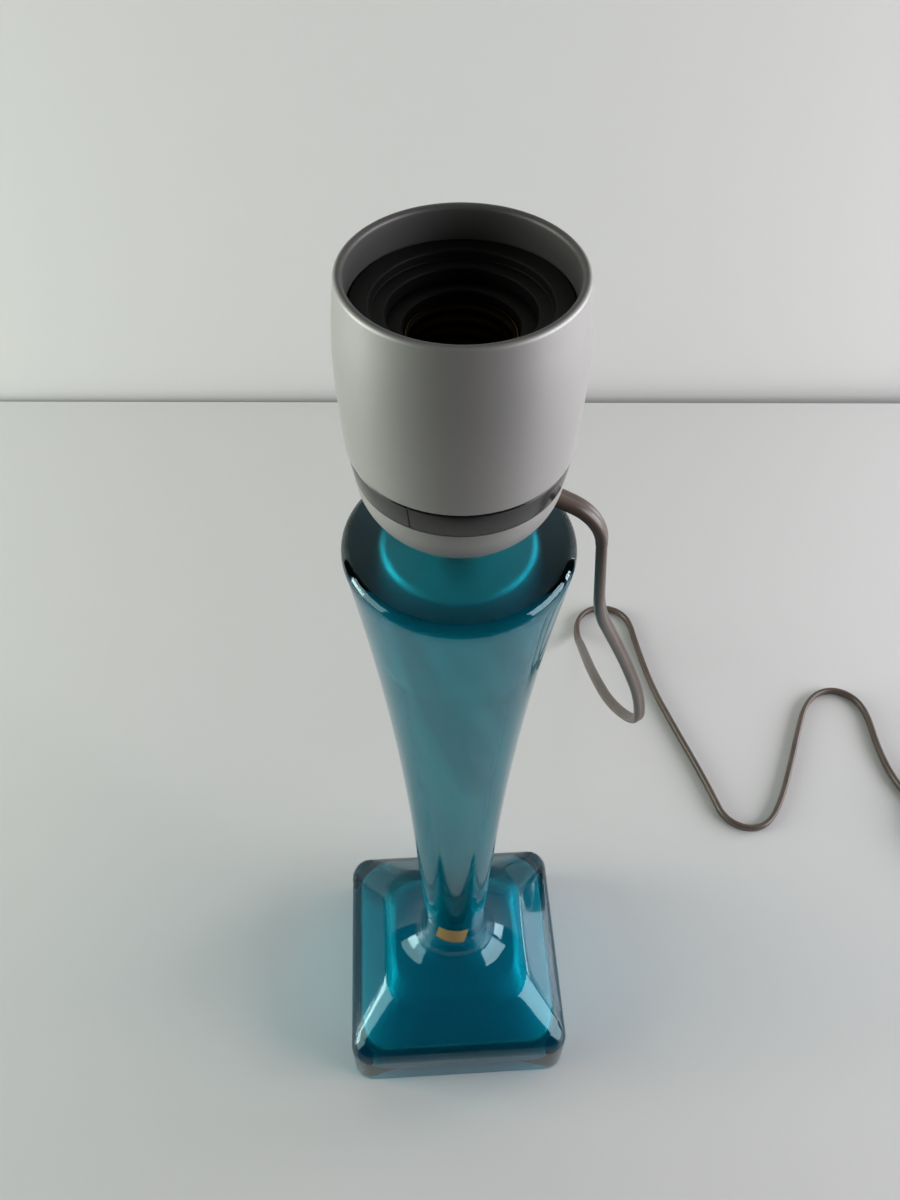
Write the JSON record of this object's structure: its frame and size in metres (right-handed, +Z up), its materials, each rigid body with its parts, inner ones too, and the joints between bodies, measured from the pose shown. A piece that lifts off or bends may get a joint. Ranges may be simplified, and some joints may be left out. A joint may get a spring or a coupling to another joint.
{
  "type": "glass table lamp base with lampholder and flex",
  "caption": "Table lamp base of petrol-blue blown glass with a square foot and a trumpet shaft, a grey lampholder with a black turning switch ring, and a flat twin flex with plug",
  "frame": {"origin": "middle of the square foot's underside, on the table", "axes": "+Z up along the shaft, square foot aligned with X and Y, front of the lamp to -Y, flex leaves the dome towards +X"},
  "size_m": [0.4539, 0.3255, 0.4656],
  "materials": {
    "teal_glass": "clear petrol-blue blown glass, glossy",
    "label_paper": "ochre coated paper, bare",
    "grey_plastic": "light warm grey, satin",
    "black_plastic": "black bakelite, glossy",
    "dark_plastic": "black, matt",
    "brass": "plain brass",
    "steel": "zinc-plated",
    "rubber": "black rubber",
    "flex": "taupe, satin",
    "core_plastic": "brown and blue cores"
  },
  "bodies": {
    "base": {"glass_body": "teal_glass", "glass_label": "label_paper", "rubber_bung": "rubber", "threaded_tube": "steel", "bung_washer": "steel", "bung_nut": "steel", "neck_washer": "rubber", "dome_washer": "steel", "dome_locknut": "steel", "lower_dome": "grey_plastic", "switch_contacts": "brass", "terminal_block": "dark_plastic", "terminal_screws": "brass", "upper_cup": "grey_plastic", "lampholder_body": "black_plastic", "fixing_screws": "steel", "screw_shell": "brass", "contact_foot": "brass", "shade_ring": "black_plastic", "cord_sleeve": "flex", "core_wires": "core_plastic", "flex_free": "flex", "flex_coil": "flex", "cord_tie": "dark_plastic", "plug_body": "dark_plastic", "plug_pins": "brass"},
    "ring": {"switch_ring": "black_plastic", "switch_wiper": "brass"},
    "tongue": {"contact_tongue": "brass"}
  },
  "joints": [
    {"name": "switch_turn", "type": "hinge", "parent": "base", "child": "ring", "pos_m": [0, 0, 0.4114], "axis": [0, 0, 1], "range_deg": [0, 40]},
    {"name": "contact_press", "type": "hinge", "parent": "base", "child": "tongue", "pos_m": [-0.0078, 0, 0.4217], "axis": [0, 1, 0], "range_deg": [0, 10], "stiffness_Nm_per_rad": 0.05}
  ]
}
